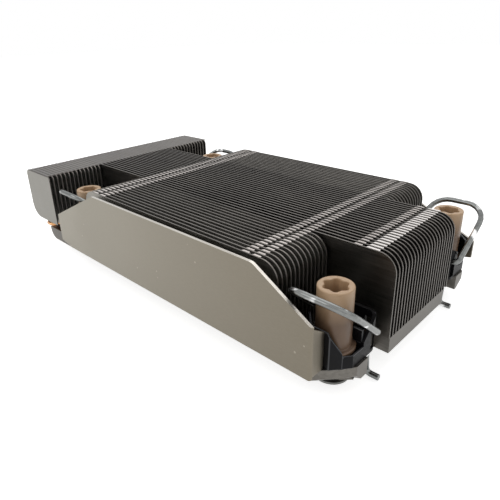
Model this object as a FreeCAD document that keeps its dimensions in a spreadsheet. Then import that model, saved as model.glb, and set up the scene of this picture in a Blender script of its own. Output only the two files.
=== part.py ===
import FreeCAD, Part
import math
import os
import Sketcher

# Passive 1U server CPU heatsink, millimetres. +X runs along the fins towards
# the front, +Y towards the far side plate, +Z up. The origin is under the
# middle of the four nuts, on the plane that the contact pad rests on.

os.makedirs("parts", exist_ok=True)
doc = FreeCAD.newDocument("server_heatsink")
Vector = FreeCAD.Vector

# Driving dimensions ---------------------------------------------------------
SIZES = {
    # nuts, where the heatsink bolts down
    "nut_pitch_x": 101.0,
    "nut_pitch_y": 58.0,
    "nut_dia": 8.1,
    "nut_top": 26.7,
    "nut_flange_dia": 10.1,
    "nut_flange_thick": 1.1,
    "nut_neck_dia": 6.4,
    "nut_foot_drop": 1.2,
    "socket_outer_dia": 5.9,
    "socket_inner_dia": 4.3,
    "socket_depth": 5.2,
    "thread_bore_dia": 4.2,
    "thread_depth": 12.0,
    "clip_thick": 0.6,
    "clip_width": 1.0,
    "clip_gap": 0.05,
    "clip_opening_angle": 80.0,
    # base; a reach is measured outwards from the nut's axis
    "pad_length": 62.0,
    "pad_width": 46.0,
    "pad_height": 4.5,
    "base_thick": 4.3,
    "base_edge_reach": 6.5,
    "base_back_reach": 22.0,
    "base_back_round": 3.5,
    "tongue_half_width": 15.1,
    "tongue_reach": 6.7,
    "ear_reach": 6.5,
    "ear_bevel": 2.1,
    "ear_bevel_side": 3.1,
    "notch_gap": 0.4,
    "hole_clearance": 0.3,
    # heat pipes
    "pipe_width": 9.5,
    "pipe_thick": 3.1,
    "pipe_offset": 9.0,
    "pipe_front": 24.0,
    "pipe_rise_start": 50.0,
    "pipe_rise_run": 12.0,
    "pipe_rise_radius": 12.0,
    "pipe_level_run": 1.4,
    "pipe_turn_radius": 8.4,
    "pipe_side_reach": 7.4,
    "pipe_clearance": 0.05,
    # fins
    "fin_pitch": 1.525,
    "fin_thick": 0.4,
    "fin_top": 30.1,
    "fin_corner": 4.6,
    "centre_fin_half_width": 15.5,
    "side_fin_reach": 6.4,
    "end_fin_reach": 8.0,
    "side_fin_front_room": 10.7,
    "side_fin_back_room": 9.2,
    "end_fin_room": 12.6,
    "end_fin_length": 18.3,
    "end_fin_top_corner": 2.2,
    "end_fin_low_corner": 4.9,
    # the folded tabs that join the fins along their top edges
    "tab_gap": 0.1,
    "tab_spacing": 1.0,
    "rear_tabs_inset": 4.7,
    "rear_tab_length": 3.0,
    "mid_tabs_inset": 5.3,
    "mid_tab_length": 2.4,
    "front_strip_length": 3.5,
    "front_tab_length": 2.2,
    # side plates
    "plate_inner_reach": 9.2,
    "plate_thick": 0.8,
    "plate_bottom": 8.1,
    "plate_top": 30.8,
    "plate_front_reach": 1.3,
    "plate_front_height": 13.2,
    "plate_front_slope": 16.2,
    "plate_back_reach": 5.4,
    "plate_back_height": 10.7,
    "plate_back_slope": 25.5,
    "plate_heel": 6.3,
    "plate_heel_height": 1.3,
    "plate_crest_round": 3.0,
    "plate_return_width": 4.6,
    "plate_return_drop": 3.1,
    "far_plate_drop": 4.0,
    # wire holders
    "holder_half_width": 6.0,
    "holder_wall": 0.8,
    "holder_floor": 2.7,
    "holder_front": 5.0,
    "holder_bevel": 3.8,
    "holder_bevel_side": 4.6,
    "holder_floor_back": 4.0,
    "holder_back": 9.0,
    "holder_top": 18.2,
    "holder_bridge_height": 1.8,
    "holder_bridge_thick": 1.0,
    "holder_shoulder": 2.5,
    "holder_cheek_front": 3.0,
    # wires
    "wire_dia": 1.6,
    "wire_bend": 1.3,
    "wire_crest_bend": 5.5,
    "wire_gap": 0.3,
    "pivot_inset": 7.0,
    "pivot_height": 14.3,
    "pivot_clearance": 0.07,
    "slot_drop": 3.6,
    "crest_extra_width": 0.9,
    "wire_reach": 19.6,
    "wire_lean": 40.0,
    "hook_inset": 1.6,
    "hook_lift": 0.2,
    "hook_end": 7.5,
    "slot_outer": 2.6,
    "slot_inner": 3.6,
}

sheet = doc.addObject("Spreadsheet::Sheet", "Size")
for row, (alias, value) in enumerate(SIZES.items(), start=1):
    sheet.set(f"A{row}", alias)
    sheet.set(f"B{row}", str(value))
    sheet.setAlias(f"B{row}", alias)
doc.recompute()


def number(text):
    """The value of a spreadsheet expression, such as 'Size.nut_dia / 2'."""
    value = sheet.evalExpression(text)
    return float(getattr(value, "Value", value))


# Modelling helpers ----------------------------------------------------------
# Bent and repeated pieces have flat faces, to keep their facets few
WIRE_SIDES = 8
HOLE_SIDES = 12
CLIP_STEPS = 9
BEND_ERROR = 0.17


def new_body(label):
    body = doc.addObject("PartDesign::Body", label)
    body.Label = label
    return body


def origin_feature(body, role):
    return next(item for item in body.Origin.OriginFeatures if item.Role == role)


def new_sketch(body, name, plane, offset="0"):
    """A sketch on one of the body's own planes, moved along the plane's normal."""
    sketch = body.newObject("Sketcher::SketchObject", name)
    sketch.AttachmentSupport = [(origin_feature(body, plane), "")]
    sketch.MapMode = "FlatFace"
    sketch.setExpression("AttachmentOffset.Base.z", offset)
    return sketch


def bind(sketch, kind, *where, text):
    """A dimension of a sketch that follows a spreadsheet expression."""
    index = sketch.addConstraint(Sketcher.Constraint(kind, *where, number(text)))
    sketch.setExpression(f"Constraints[{index}]", text)


def draw_outline(sketch, corners):
    """A closed outline; each corner is a pair of spreadsheet expressions."""
    places = [Vector(number(across), number(along), 0) for across, along in corners]
    first = sketch.GeometryCount
    count = len(corners)
    for step in range(count):
        line = Part.LineSegment(places[step], places[(step + 1) % count])
        sketch.addGeometry(line, False)
    for step in range(count):
        following = first + (step + 1) % count
        sketch.addConstraint(Sketcher.Constraint("Coincident", first + step, 2, following, 1))
    for step, (across, along) in enumerate(corners):
        bind(sketch, "DistanceX", -1, 1, first + step, 1, text=across)
        bind(sketch, "DistanceY", -1, 1, first + step, 1, text=along)


def draw_box(sketch, left, right, low, high):
    draw_outline(sketch, [(left, low), (right, low), (right, high), (left, high)])


def pad(body, sketch, length, name, backwards=False):
    feature = body.newObject("PartDesign::Pad", name)
    feature.Profile = sketch
    feature.setExpression("Length", length)
    feature.Reversed = backwards
    body.Tip = feature
    doc.recompute()
    return feature


def pocket(body, sketch, depth, name, backwards=False):
    """A pocket that must take material away."""
    before = body.Shape.Volume
    feature = body.newObject("PartDesign::Pocket", name)
    feature.Profile = sketch
    feature.setExpression("Length", depth)
    feature.Reversed = backwards
    body.Tip = feature
    doc.recompute()
    if body.Shape.Volume > before - 1e-6:
        raise RuntimeError(f"{name} cuts nothing")
    return feature


def round_edges(body, chosen, radius, name):
    """A fillet on the edges of the body for which chosen(edge) is true."""
    base = body.Tip
    names = [
        f"Edge{index}" for index, edge in enumerate(base.Shape.Edges, start=1) if chosen(edge)
    ]
    feature = body.newObject("PartDesign::Fillet", name)
    feature.Base = (base, names)
    feature.setExpression("Radius", radius)
    body.Tip = feature
    doc.recompute()
    return feature


def along_y_at(x, z):
    """True for the edge that runs along Y at this x and z."""
    def chosen(edge):
        box = edge.BoundBox
        straight = box.XLength < 1e-6 and box.ZLength < 1e-6
        return straight and abs(box.XMin - x) < 1e-4 and abs(box.ZMin - z) < 1e-4
    return chosen


def repeat_along_y(body, spacing, count):
    """Copies of the whole body at one spacing along +Y, as separate solids."""
    feature = body.newObject("PartDesign::LinearPattern", "Row")
    feature.TransformMode = "Whole shape"
    feature.Direction = (origin_feature(body, "Y_Axis"), [""])
    feature.Occurrences = count
    feature.setExpression("Length", f"{spacing} * {count - 1}")
    body.Tip = feature
    doc.recompute()


def place(item, across, along, turned=False):
    """Sets a sub-part at a nut's axis, turned half round on the far side."""
    item.Placement.Rotation = FreeCAD.Rotation(Vector(0, 0, 1), 180 if turned else 0)
    item.setExpression("Placement.Base.x", across)
    item.setExpression("Placement.Base.y", along)


def rounded_route(points, radii):
    """A route whose corners are rounded by chords that stay within BEND_ERROR of the arc."""
    route = [points[0]]
    for before, corner, after, radius in zip(points, points[1:], points[2:], radii):
        heading = (corner - before).normalize()
        onward = (after - corner).normalize()
        turn = heading.getAngle(onward)
        axis = heading.cross(onward).normalize()
        arm = heading.cross(axis) * radius
        centre = corner - heading * radius * math.tan(turn / 2) - arm
        steps = math.ceil(turn / (2 * math.acos(1 - BEND_ERROR / radius)))
        for step in range(steps + 1):
            spin = FreeCAD.Rotation(axis, math.degrees(turn) * step / steps)
            route.append(centre + spin.multVec(arm))
    return route + [points[-1]]


def mitred_bar(section, route):
    """A solid of flat faces that carries a closed section along a route."""
    headings = [(stop - start).normalize() for start, stop in zip(route, route[1:])]
    ring = section
    faces = [Part.Face(Part.makePolygon(ring + ring[:1]))]
    for index, heading in enumerate(headings):
        onward = headings[index + 1] if index + 1 < len(headings) else heading
        normal = heading + onward
        corner = route[index + 1]
        reached = [
            spot + heading * (normal.dot(corner - spot) / normal.dot(heading)) for spot in ring
        ]
        for left in range(len(ring)):
            right = (left + 1) % len(ring)
            quad = [ring[left], ring[right], reached[right], reached[left], ring[left]]
            faces.append(Part.Face(Part.makePolygon(quad)))
        ring = reached
    faces.append(Part.Face(Part.makePolygon(ring + ring[:1])))
    shell = Part.Shell(faces)
    shell.sewShape()
    bar = Part.Solid(shell)
    if bar.Volume < 0:
        bar.reverse()
    return bar


def arc_points(across, along, radius, start, stop, steps):
    """Points evenly spaced on an arc, from start to stop in degrees."""
    points = []
    for step in range(steps + 1):
        angle = math.radians(start + (stop - start) * step / steps)
        points.append((
            f"{across} + {math.cos(angle):.6f} * {radius}",
            f"{along} + {math.sin(angle):.6f} * {radius}",
        ))
    return points


def hole_sides(across, along, radius):
    """A closed ring of flat sides that clears a circle of this radius."""
    reach = f"{1 / math.cos(math.pi / HOLE_SIDES):.6f} * {radius}"
    return arc_points(across, along, reach, 0, 360 - 360 / HOLE_SIDES, HOLE_SIDES - 1)


def round_corner(across, along, radius, right, up, steps):
    """A corner of an outline rounded by chords, from its upright side to its level side.

    right and up are 1 or -1 and say which corner of the outline it is.
    """
    corner = []
    for step in range(steps + 1):
        angle = math.pi / 2 * step / steps
        inset = 1 - math.cos(angle)
        drop = 1 - math.sin(angle)
        corner.append((
            f"{across} - {right} * {inset:.6f} * {radius}",
            f"{along} - {up} * {drop:.6f} * {radius}",
        ))
    return corner


# Places that several pieces share -------------------------------------------
NUT_X = "Size.nut_pitch_x / 2"
NUT_Y = "Size.nut_pitch_y / 2"
BASE_FRONT = f"({NUT_X} + Size.tongue_reach)"
BASE_BACK = f"({NUT_X} + Size.base_back_reach)"
BASE_EDGE = f"({NUT_Y} + Size.base_edge_reach)"
BASE_TOP = "(Size.pad_height + Size.base_thick)"
PIPE_TOP = f"({BASE_TOP} + Size.pipe_thick)"
NUT_FOOT = "(Size.pad_height - Size.nut_foot_drop)"
FLOOR_TOP = f"({BASE_TOP} + Size.holder_floor)"
FIN_TOP = "Size.fin_top"
FIN_BACK = f"({NUT_X} + Size.end_fin_room + Size.end_fin_length)"
SIDE_FIN_FRONT = f"({NUT_X} - Size.side_fin_front_room)"
SIDE_FIN_BACK = f"({NUT_X} - Size.side_fin_back_room)"
END_FIN_FRONT = f"({NUT_X} + Size.end_fin_room)"
PLATE_INNER = f"({NUT_Y} + Size.plate_inner_reach)"
PLATE_OUTER = f"({PLATE_INNER} + Size.plate_thick)"
PLATE_FRONT = f"({NUT_X} + Size.plate_front_reach)"
PLATE_BACK = f"({NUT_X} + Size.plate_back_reach)"
ARM_X = "(Size.holder_half_width - Size.holder_wall - Size.wire_gap - Size.wire_dia / 2)"
LEG_X = "(Size.holder_half_width + Size.wire_gap + Size.wire_dia / 2)"
SLOT_START = f"({NUT_Y} - Size.pivot_inset + Size.slot_outer)"
SLOT_STOP = f"({NUT_Y} - Size.pivot_inset - Size.slot_inner)"
ARM_ROOM = "(Size.wire_dia / 2 + Size.notch_gap)"
NECK_ROOM = "(Size.nut_neck_dia / 2 + Size.hole_clearance)"

# How many fins fit on each side of the middle one; the centre block has one
# more on its far side
CENTRE_FIRST = -math.floor(number("Size.centre_fin_half_width / Size.fin_pitch"))
CENTRE_LAST = 1 - CENTRE_FIRST
SIDE_LAST = math.floor(number(f"({NUT_Y} + Size.side_fin_reach) / Size.fin_pitch"))
END_LAST = math.floor(number(f"({NUT_Y} + Size.end_fin_reach) / Size.fin_pitch"))

CORNERS = [
    ("front_near", 1, -1),
    ("front_far", 1, 1),
    ("rear_near", -1, -1),
    ("rear_far", -1, 1),
]


# Base plate -----------------------------------------------------------------
def base_corners(side):
    """Half of the base's outline, from the back edge round to the tongue."""
    bevel_y = f"({NUT_Y} + Size.ear_bevel_side)"
    ear_front = f"({NUT_X} + Size.ear_reach)"
    bevel_x = f"({ear_front} - Size.ear_bevel)"
    notch_x = f"({NUT_X} + {ARM_X} - {ARM_ROOM})"
    half = [
        (f"-{BASE_BACK}", BASE_EDGE),
        (f"{bevel_x} - ({BASE_EDGE} - {bevel_y})", BASE_EDGE),
        (bevel_x, bevel_y),
        (ear_front, NUT_Y),
        (ear_front, SLOT_START),
        (notch_x, SLOT_START),
        (notch_x, "Size.tongue_half_width"),
        (BASE_FRONT, "Size.tongue_half_width"),
    ]
    return [(across, f"{side} * ({along})") for across, along in half]


def make_base_plate():
    body = new_body("base_plate")
    plan = new_sketch(body, "Plan", "XY_Plane", "Size.pad_height")
    draw_outline(plan, base_corners(-1) + base_corners(1)[::-1])
    pad(body, plan, "Size.base_thick", "Plate")

    contact = new_sketch(body, "ContactPlan", "XY_Plane")
    draw_box(
        contact,
        "-Size.pad_length / 2", "Size.pad_length / 2",
        "-Size.pad_width / 2", "Size.pad_width / 2",
    )
    pad(body, contact, "Size.pad_height", "ContactPad")

    back = -number(BASE_BACK)
    low = number("Size.pad_height")
    round_edges(body, along_y_at(back, low), "Size.base_back_round", "BackRound")

    holes = new_sketch(body, "NutHoles", "XY_Plane", "Size.pad_height")
    for name, end, side in CORNERS:
        draw_outline(holes, hole_sides(f"{end} * {NUT_X}", f"{side} * {NUT_Y}", NECK_ROOM))
    pocket(body, holes, "Size.base_thick", "NutHole", backwards=True)

    slots = new_sketch(body, "ArmSlots", "XY_Plane", "Size.pad_height")
    for name, end, side in CORNERS:
        arms = (-1,) if end > 0 else (-1, 1)
        for arm in arms:
            middle = f"{end} * {NUT_X} + {arm} * {ARM_X}"
            low_y, high_y = sorted(
                (f"{side} * {SLOT_START}", f"{side} * {SLOT_STOP}"), key=number
            )
            draw_box(slots, f"{middle} - {ARM_ROOM}", f"{middle} + {ARM_ROOM}", low_y, high_y)
    pocket(body, slots, "Size.base_thick", "ArmSlot", backwards=True)

    grooves = new_sketch(body, "Grooves", "XY_Plane", BASE_TOP)
    for side in (-1, 1):
        middle = f"{side} * Size.pipe_offset"
        room = "(Size.pipe_width / 2 + Size.pipe_clearance)"
        draw_box(
            grooves,
            "-(Size.pipe_rise_start + Size.pipe_rise_run)",
            "Size.pipe_front + Size.pipe_clearance",
            f"{middle} - {room}", f"{middle} + {room}",
        )
    pocket(body, grooves, "Size.pipe_thick", "Groove")
    return body


# Heat pipes -----------------------------------------------------------------
def make_heat_pipe(label, side):
    """A flattened pipe: along its groove, up, then sideways under the end fins."""
    width = number("Size.pipe_width")
    thick = number("Size.pipe_thick")
    along = side * number("Size.pipe_offset")
    low = number(BASE_TOP) - thick / 2
    high = low + thick
    rise = number("Size.pipe_rise_start")
    run = number("Size.pipe_rise_run")
    turn_radius = number("Size.pipe_turn_radius")
    turn_x = -(rise + run + number("Size.pipe_level_run") + turn_radius)
    rise_radius = number("Size.pipe_rise_radius")
    start = Vector(number("Size.pipe_front"), along, low)
    section = []
    for edge in (1, -1):
        for degrees in (-90, -30, 30, 90):
            angle = math.radians(degrees)
            out = (width - thick) / 2 + thick / 2 * math.cos(angle)
            section.append(start + Vector(0, edge * out, edge * thick / 2 * math.sin(angle)))
    corners = [
        start,
        Vector(-(rise + run / 4), along, low),
        Vector(-(rise + 3 * run / 4), along, high),
        Vector(turn_x, along, high),
        Vector(turn_x, side * number(f"{NUT_Y} + Size.pipe_side_reach"), high),
    ]
    route = rounded_route(corners, [rise_radius, rise_radius, turn_radius])
    pipe = doc.addObject("Part::Feature", label)
    pipe.Label = label
    pipe.Shape = mitred_bar(section, route)
    return pipe


# Fins -----------------------------------------------------------------------
def tab_row(start, lengths, direction):
    """The stretches of a row of folded tabs, one tab spacing apart."""
    stretches = []
    edge = start
    for length in lengths:
        other = f"{edge} + {direction} * {length}"
        stretches.append((edge, other) if direction > 0 else (other, edge))
        edge = f"{other} + {direction} * Size.tab_spacing"
    return stretches


REAR_TABS = tab_row(
    f"-{SIDE_FIN_BACK} + Size.rear_tabs_inset", ["Size.rear_tab_length"] * 2, 1
)
MID_TABS = tab_row(
    f"{SIDE_FIN_FRONT} - Size.mid_tabs_inset", ["Size.mid_tab_length"] * 2, -1
)
FRONT_TABS = tab_row(
    f"{BASE_FRONT} - Size.fin_corner", ["Size.front_strip_length", "Size.front_tab_length"], -1
)
END_TABS = [(f"-{FIN_BACK} + Size.end_fin_top_corner", f"-{END_FIN_FRONT}")]


def make_fins(label, first, last, corners, tabs):
    """A row of folded fins, from the first to the last place off the middle."""
    body = new_body(label)
    face = f"-({first} * Size.fin_pitch - Size.fin_thick / 2)"
    outline = new_sketch(body, "FinOutline", "XZ_Plane", face)
    draw_outline(outline, corners)
    pad(body, outline, "Size.fin_thick", "Fin", backwards=True)
    folds = new_sketch(body, "TabOutline", "XZ_Plane", face)
    for start, stop in tabs:
        draw_box(folds, start, stop, f"{FIN_TOP} - Size.fin_thick", FIN_TOP)
    pad(body, folds, "Size.fin_pitch - Size.tab_gap", "Tabs", backwards=True)
    repeat_along_y(body, "Size.fin_pitch", last - first + 1)
    return body


def end_corners():
    """The rounded rear corners that the centre and end fins share: low, then top."""
    low = round_corner(f"-{FIN_BACK}", PIPE_TOP, "Size.end_fin_low_corner", -1, -1, 2)
    top = round_corner(f"-{FIN_BACK}", FIN_TOP, "Size.end_fin_top_corner", -1, 1, 1)
    return low, top[::-1]


def make_centre_fins():
    step = "-Size.pipe_rise_start"
    low, top = end_corners()
    corners = low + [
        (step, PIPE_TOP),
        (step, BASE_TOP),
        (BASE_FRONT, BASE_TOP),
    ]
    corners += round_corner(BASE_FRONT, FIN_TOP, "Size.fin_corner", 1, 1, 3)
    corners += top
    tabs = END_TABS + REAR_TABS + MID_TABS + FRONT_TABS
    return make_fins("centre_fins", CENTRE_FIRST, CENTRE_LAST, corners, tabs)


def make_side_fins(label, first, last):
    corners = [(f"-{SIDE_FIN_BACK}", BASE_TOP), (SIDE_FIN_FRONT, BASE_TOP)]
    corners += round_corner(SIDE_FIN_FRONT, FIN_TOP, "Size.fin_corner", 1, 1, 3)
    corners += round_corner(f"-{SIDE_FIN_BACK}", FIN_TOP, "Size.fin_corner", -1, 1, 3)[::-1]
    return make_fins(label, first, last, corners, REAR_TABS + MID_TABS)


def make_end_fins(label, first, last):
    low, top = end_corners()
    front = [(f"-{END_FIN_FRONT}", PIPE_TOP), (f"-{END_FIN_FRONT}", FIN_TOP)]
    return make_fins(label, first, last, low + front + top, END_TABS)


# Side plates ----------------------------------------------------------------
def make_side_plate(label, drop, turned=False):
    """The near plate; the far one is the same turned half round, with its top lower by drop."""
    body = new_body(label)
    outer = f"-{PLATE_OUTER}"
    heel = f"-{PLATE_BACK} + Size.plate_heel"
    top = f"(Size.plate_top - {drop})"
    front_top = f"(Size.plate_bottom + Size.plate_front_height - {drop})"
    wall = new_sketch(body, "WallOutline", "XZ_Plane", f"-({outer})")
    draw_outline(wall, [
        (heel, "Size.plate_bottom"),
        (PLATE_FRONT, "Size.plate_bottom"),
        (PLATE_FRONT, front_top),
        (f"{PLATE_FRONT} - Size.plate_front_slope", top),
        (f"-{PLATE_BACK} + Size.plate_back_slope", top),
        (f"-{PLATE_BACK}", f"Size.plate_bottom + Size.plate_back_height - {drop}"),
        (f"-{PLATE_BACK}", "Size.plate_bottom + Size.plate_heel_height"),
    ])
    pad(body, wall, "Size.plate_thick", "Wall", backwards=True)
    crest = along_y_at(number(f"{PLATE_FRONT} - Size.plate_front_slope"), number(top))
    round_edges(body, crest, "Size.plate_crest_round", "CrestRound")

    inner = f"({outer} + Size.plate_return_width)"
    fold = f"{PLATE_FRONT} - Size.plate_thick"
    front_return = new_sketch(body, "ReturnOutline", "YZ_Plane", fold)
    draw_outline(front_return, [
        (outer, BASE_TOP),
        (inner, BASE_TOP),
        (inner, f"{front_top} - Size.plate_return_drop"),
        (outer, front_top),
    ])
    pad(body, front_return, "Size.plate_thick", "FrontReturn")

    foot = new_sketch(body, "FootOutline", "XY_Plane", "Size.plate_bottom")
    draw_box(foot, heel, f"{PLATE_FRONT} - Size.plate_return_width", outer, f"-{BASE_EDGE}")
    pad(body, foot, "Size.plate_thick", "Foot")
    place(body, "0", "0", turned)
    return body


# Nuts and their clips -------------------------------------------------------
def make_nut(label, end, side):
    body = new_body(label)
    bore, neck = "Size.thread_bore_dia / 2", "Size.nut_neck_dia / 2"
    flange, barrel = "Size.nut_flange_dia / 2", "Size.nut_dia / 2"
    flange_top = f"{FLOOR_TOP} + Size.nut_flange_thick"
    profile = new_sketch(body, "Profile", "XZ_Plane")
    draw_outline(profile, [
        (bore, NUT_FOOT),
        (neck, NUT_FOOT),
        (neck, FLOOR_TOP),
        (flange, FLOOR_TOP),
        (flange, flange_top),
        (barrel, flange_top),
        (barrel, "Size.nut_top"),
        ("0", "Size.nut_top"),
        ("0", f"{NUT_FOOT} + Size.thread_depth"),
        (bore, f"{NUT_FOOT} + Size.thread_depth"),
    ])
    turned = body.newObject("PartDesign::Revolution", "Turned")
    turned.Profile = profile
    turned.ReferenceAxis = (profile, ["V_Axis"])
    turned.Angle = 360
    body.Tip = turned
    doc.recompute()

    star = []
    for step in range(24):
        angle = math.radians(15 * step)
        swell = (1 + math.cos(6 * angle)) / 2
        reach = (
            f"(Size.socket_inner_dia + {swell:.3f} *"
            " (Size.socket_outer_dia - Size.socket_inner_dia)) / 2"
        )
        star.append((f"{math.cos(angle):.6f} * {reach}", f"{math.sin(angle):.6f} * {reach}"))
    socket = new_sketch(body, "Star", "XY_Plane", "Size.nut_top")
    draw_outline(socket, star)
    pocket(body, socket, "Size.socket_depth", "Socket")
    place(body, f"{end} * {NUT_X}", f"{side} * {NUT_Y}", turned=side > 0)
    return body


def make_clip(label, end, side):
    """A flat open ring pushed on to the nut's neck, under the base plate."""
    body = new_body(label)
    sweep = 360 - number("Size.clip_opening_angle")
    stretch = 1 / math.cos(math.radians(sweep / CLIP_STEPS / 2))
    inner = f"({stretch:.6f} * (Size.nut_neck_dia / 2 + Size.clip_gap))"
    outer = f"({inner} + Size.clip_width)"
    first = 90 + number("Size.clip_opening_angle / 2")
    outline = arc_points("0", "0", outer, first, first + sweep, CLIP_STEPS)
    outline += arc_points("0", "0", inner, first + sweep, first, CLIP_STEPS)
    level = "Size.pad_height - Size.clip_gap - Size.clip_thick"
    ring = new_sketch(body, "Ring", "XY_Plane", level)
    draw_outline(ring, outline)
    pad(body, ring, "Size.clip_thick", "Clip")
    place(body, f"{end} * {NUT_X}", f"{side} * {NUT_Y}", turned=side > 0)
    return body


# Wire holders ---------------------------------------------------------------
def make_holder(label, end, side):
    """Moulded block round a nut, with two cheeks that carry the wire's pivots."""
    body = new_body(label)
    half, front = "Size.holder_half_width", "-Size.holder_front"
    bevel_x = f"({half} - Size.holder_bevel)"
    bevel_y = f"({front} + Size.holder_bevel_side)"
    foot = new_sketch(body, "Foot", "XY_Plane", BASE_TOP)
    draw_outline(foot, [
        (f"-{half}", bevel_y),
        (f"-{bevel_x}", front),
        (bevel_x, front),
        (half, bevel_y),
        (half, "Size.holder_floor_back"),
        (f"-{half}", "Size.holder_floor_back"),
    ])
    pad(body, foot, "Size.holder_floor", "Floor")

    for name, left in (("Left", f"-{half}"), ("Right", f"{half} - Size.holder_wall")):
        cheek = new_sketch(body, f"{name}Cheek", "YZ_Plane", left)
        draw_outline(cheek, [
            ("Size.holder_cheek_front", BASE_TOP),
            ("Size.holder_back", BASE_TOP),
            ("Size.holder_back", "Size.holder_top"),
            ("Size.holder_cheek_front + Size.holder_shoulder", "Size.holder_top"),
            ("Size.holder_cheek_front", "Size.holder_top - 2 * Size.holder_shoulder"),
        ])
        pad(body, cheek, "Size.holder_wall", f"{name}Wall")

    bridge = new_sketch(body, "Bridge", "YZ_Plane", f"-{half}")
    draw_box(
        bridge,
        "Size.holder_back - Size.holder_bridge_thick", "Size.holder_back",
        "Size.holder_top - Size.holder_bridge_height", "Size.holder_top",
    )
    pad(body, bridge, f"2 * {half}", "BridgeBar")

    bore = new_sketch(body, "NutBore", "XY_Plane", BASE_TOP)
    draw_outline(bore, hole_sides("0", "0", NECK_ROOM))
    pocket(body, bore, "Size.holder_floor", "NutClearance", backwards=True)

    room = "(Size.wire_dia / 2 + Size.pivot_clearance)"
    slots = new_sketch(body, "PivotSlots", "YZ_Plane", f"-{half}")
    bottom = "Size.pivot_height - Size.slot_drop"
    outline = [(f"Size.pivot_inset - {room}", bottom), (f"Size.pivot_inset + {room}", bottom)]
    outline += arc_points("Size.pivot_inset", "Size.pivot_height", room, 0, 180, 6)
    draw_outline(slots, outline)
    pocket(body, slots, f"2 * {half}", "PivotSlot", backwards=True)
    place(body, f"{end} * {NUT_X}", f"{side} * {NUT_Y}", turned=side > 0)
    return body


# Anti-tilt wires ------------------------------------------------------------
def make_wire(label, end, side):
    """One bent wire: hook, arm, pivot and leg on each side, and the crest."""
    radius = number("Size.wire_dia / 2")
    lean = math.radians(number("Size.wire_lean"))
    reach = number("Size.wire_reach")
    inset, height = number("Size.pivot_inset"), number("Size.pivot_height")
    hook_y, hook_z = inset + number("Size.hook_inset"), radius + number("Size.hook_lift")
    crest_y = inset - reach * math.cos(lean)
    crest_z = height + reach * math.sin(lean)
    half = [
        Vector(number("Size.hook_end"), hook_y, hook_z),
        Vector(number(ARM_X), hook_y, hook_z),
        Vector(number(ARM_X), inset, height),
        Vector(number(LEG_X), inset, height),
        Vector(number(f"{LEG_X} + Size.crest_extra_width"), crest_y, crest_z),
    ]
    corners = half + [Vector(-spot.x, spot.y, spot.z) for spot in reversed(half)]
    bend, crest_bend = number("Size.wire_bend"), number("Size.wire_crest_bend")
    radii = [bend, bend, bend, crest_bend, crest_bend, bend, bend, bend]
    section = []
    for step in range(WIRE_SIDES):
        angle = math.radians(360 / WIRE_SIDES * (step + 0.5))
        section.append(half[0] + Vector(0, radius * math.cos(angle), radius * math.sin(angle)))
    wire = doc.addObject("Part::Feature", label)
    wire.Label = label
    wire.Shape = mitred_bar(section, rounded_route(corners, radii))
    place(wire, f"{end} * {NUT_X}", f"{side} * {NUT_Y}", turned=side > 0)
    return wire


# Assembly -------------------------------------------------------------------
parts = [
    make_base_plate(),
    make_heat_pipe("heat_pipe_near", -1),
    make_heat_pipe("heat_pipe_far", 1),
    make_centre_fins(),
    make_side_fins("side_fins_near", -SIDE_LAST, CENTRE_FIRST - 1),
    make_side_fins("side_fins_far", CENTRE_LAST + 1, SIDE_LAST),
    make_end_fins("end_fins_near", -END_LAST, CENTRE_FIRST - 1),
    make_end_fins("end_fins_far", CENTRE_LAST + 1, END_LAST),
    make_side_plate("side_plate_near", "0"),
    make_side_plate("side_plate_far", "Size.far_plate_drop", turned=True),
]
for corner, end, side in CORNERS:
    parts.append(make_nut(f"nut_{corner}", end, side))
    parts.append(make_clip(f"nut_clip_{corner}", end, side))
    parts.append(make_holder(f"wire_holder_{corner}", end, side))
    parts.append(make_wire(f"wire_{corner}", end, side))
doc.recompute()

for item in doc.Objects:
    if "Invalid" in item.State or "Error" in item.State:
        raise RuntimeError(f"{item.Label} failed: {item.State}")
for part in parts:
    if part.Shape.isNull() or not part.Shape.isValid():
        raise RuntimeError(f"{part.Label} has no valid shape")
for part in parts:
    part.Shape.exportStep(f"parts/{part.Label}.step")
    print(f"{part.Label}: {len(part.Shape.Solids)} solids, {part.Shape.Volume:.1f} mm3")
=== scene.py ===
import math

import bmesh
import bpy
from mathutils import Matrix, Vector


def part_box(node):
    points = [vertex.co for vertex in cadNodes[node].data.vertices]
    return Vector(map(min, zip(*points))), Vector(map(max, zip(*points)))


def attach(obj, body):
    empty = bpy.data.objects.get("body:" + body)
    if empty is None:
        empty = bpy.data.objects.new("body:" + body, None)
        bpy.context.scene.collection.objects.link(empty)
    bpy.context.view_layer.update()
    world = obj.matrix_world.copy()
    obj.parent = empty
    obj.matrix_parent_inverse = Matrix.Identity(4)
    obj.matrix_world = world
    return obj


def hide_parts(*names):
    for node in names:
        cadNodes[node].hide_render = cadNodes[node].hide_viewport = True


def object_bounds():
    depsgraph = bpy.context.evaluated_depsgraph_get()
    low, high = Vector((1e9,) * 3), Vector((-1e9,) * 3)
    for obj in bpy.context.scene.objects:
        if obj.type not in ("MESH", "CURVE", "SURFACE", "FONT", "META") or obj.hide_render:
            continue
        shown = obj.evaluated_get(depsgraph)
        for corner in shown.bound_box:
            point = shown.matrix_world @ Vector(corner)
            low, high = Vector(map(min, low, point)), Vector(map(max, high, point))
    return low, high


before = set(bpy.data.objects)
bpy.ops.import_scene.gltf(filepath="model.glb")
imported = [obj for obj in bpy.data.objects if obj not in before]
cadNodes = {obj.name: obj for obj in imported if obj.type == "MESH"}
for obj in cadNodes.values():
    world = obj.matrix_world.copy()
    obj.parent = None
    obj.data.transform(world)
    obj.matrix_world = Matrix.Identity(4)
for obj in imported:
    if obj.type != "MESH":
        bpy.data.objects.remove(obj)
cadLow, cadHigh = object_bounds()
print("frame loaded:", len(cadNodes), "nodes")

mm = 0.001
corners = ("front_near", "front_far", "rear_near", "rear_far")


# Small helpers for working in edit mode

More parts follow.
